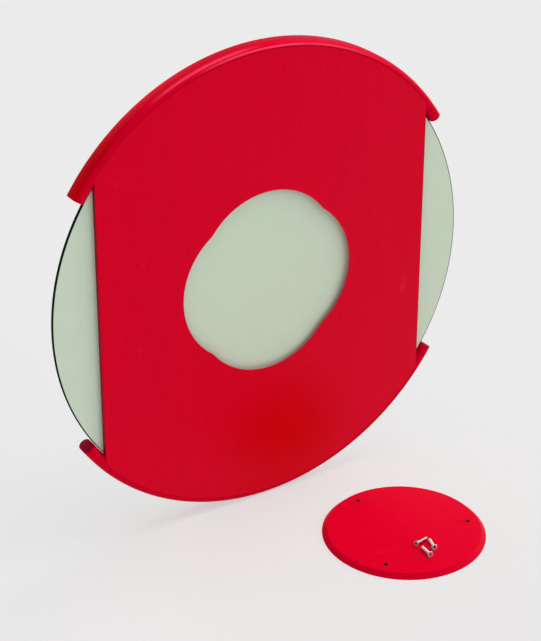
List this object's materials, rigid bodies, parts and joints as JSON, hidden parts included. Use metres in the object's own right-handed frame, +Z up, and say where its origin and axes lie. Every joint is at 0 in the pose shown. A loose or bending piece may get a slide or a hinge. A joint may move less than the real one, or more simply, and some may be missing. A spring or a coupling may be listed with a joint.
{
  "type": "round wall mirror",
  "caption": "Round wall mirror seen from behind: a back plate with a lobed undercut hanging hole, curved edge lips, and a loose bevelled wall disc with its countersunk screws.",
  "frame": {"origin": "centre of the base of the bounding box, on the surface that the mirror and the disc rest on", "axes": "+X to the right for someone looking at the back, +Y towards the reflecting side, +Z up"},
  "size_m": [0.568, 0.2896, 0.6],
  "materials": {
    "mirror_glass": "silvered glass, back coated in matte pale green",
    "tape": "foam mounting tape",
    "back_plate": "matte red lacquer",
    "lip": "satin red lacquer",
    "wall_disc": "satin red lacquer",
    "screw": "plain zinc-plated steel"
  },
  "bodies": {
    "mirror": {"mirror_glass": "mirror_glass", "tape_left": "tape", "tape_right": "tape", "tape_upper": "tape", "tape_lower": "tape", "back_plate": "back_plate", "upper_lip": "lip", "lower_lip": "lip"},
    "wall_disc": {"wall_disc": "wall_disc"},
    "screw_1": {"screw_1": "screw"},
    "screw_2": {"screw_2": "screw"},
    "screw_3": {"screw_3": "screw"}
  },
  "joints": [
    {"name": "disc_slide", "type": "slide", "parent": "mirror", "child": "wall_disc", "axis": [0, -1, 0], "range_m": [-0.05, 0.25]},
    {"name": "screw_1_lift", "type": "slide", "parent": "wall_disc", "child": "screw_1", "axis": [0, 0, 1], "range_m": [0, 0.05]},
    {"name": "screw_2_lift", "type": "slide", "parent": "wall_disc", "child": "screw_2", "axis": [0, 0, 1], "range_m": [0, 0.05]},
    {"name": "screw_3_lift", "type": "slide", "parent": "wall_disc", "child": "screw_3", "axis": [0, 0, 1], "range_m": [0, 0.05]}
  ]
}
